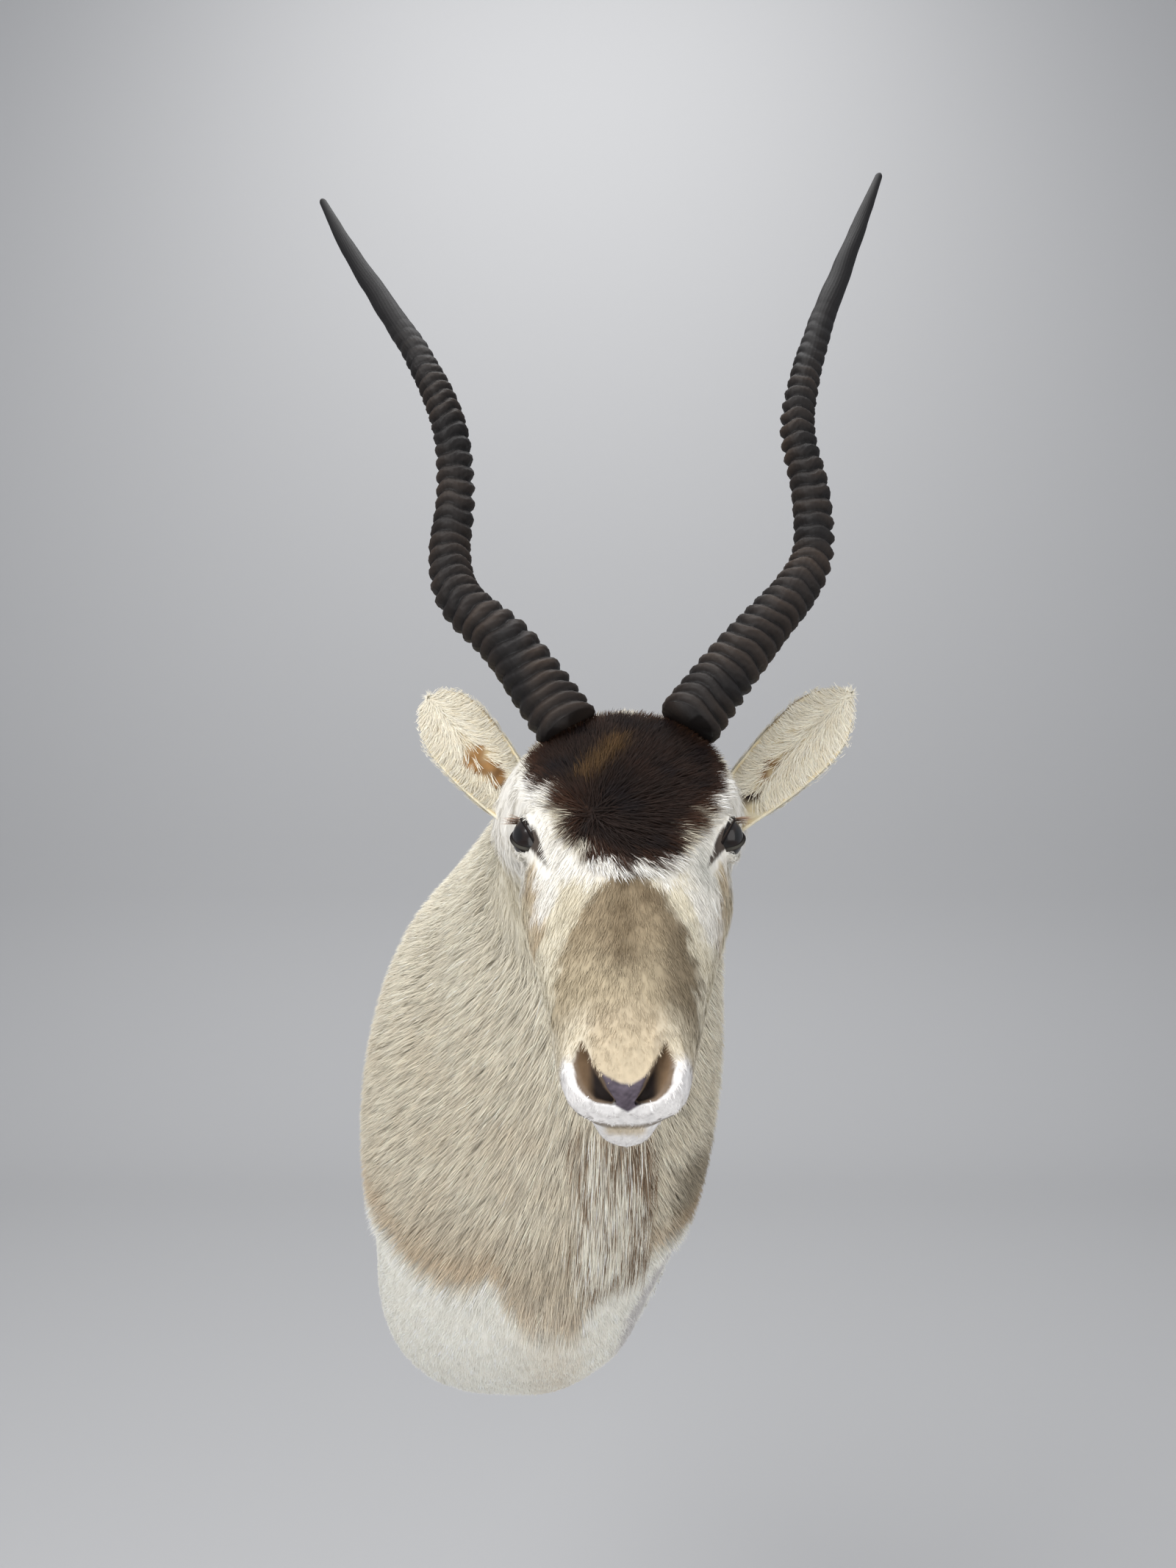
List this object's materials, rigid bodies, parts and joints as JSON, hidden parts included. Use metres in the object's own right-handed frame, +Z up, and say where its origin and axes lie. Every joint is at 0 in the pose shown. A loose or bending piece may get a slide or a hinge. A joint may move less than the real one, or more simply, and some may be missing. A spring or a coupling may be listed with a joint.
{
  "type": "addax shoulder mount",
  "caption": "Wall-hung taxidermy shoulder mount of an addax: hide over a form, ringed spiral horns, glass eyes, and a backboard with a hanger.",
  "frame": {"origin": "centre of the wall face, at the middle of the backboard's width, on the plane of the wall", "axes": "+Y into the wall, +Z up, +X to the right of someone who faces the mount; the head looks towards -Y"},
  "size_m": [0.5552, 0.7219, 1.297],
  "materials": {
    "hide": "hair-on hide, cream and tan with a dark brown forehead",
    "horn": "dark ringed horn, satin",
    "eye_glass": "polished dark brown glass",
    "board": "bare sawn wood",
    "hanger_steel": "bright steel"
  },
  "bodies": {
    "root": {"cape": "hide", "horn_left": "horn", "horn_right": "horn", "eye_left": "eye_glass", "eye_right": "eye_glass", "backboard": "board", "hanger": "hanger_steel", "hanger_screw_1": "hanger_steel", "hanger_screw_2": "hanger_steel"}
  },
  "joints": []
}
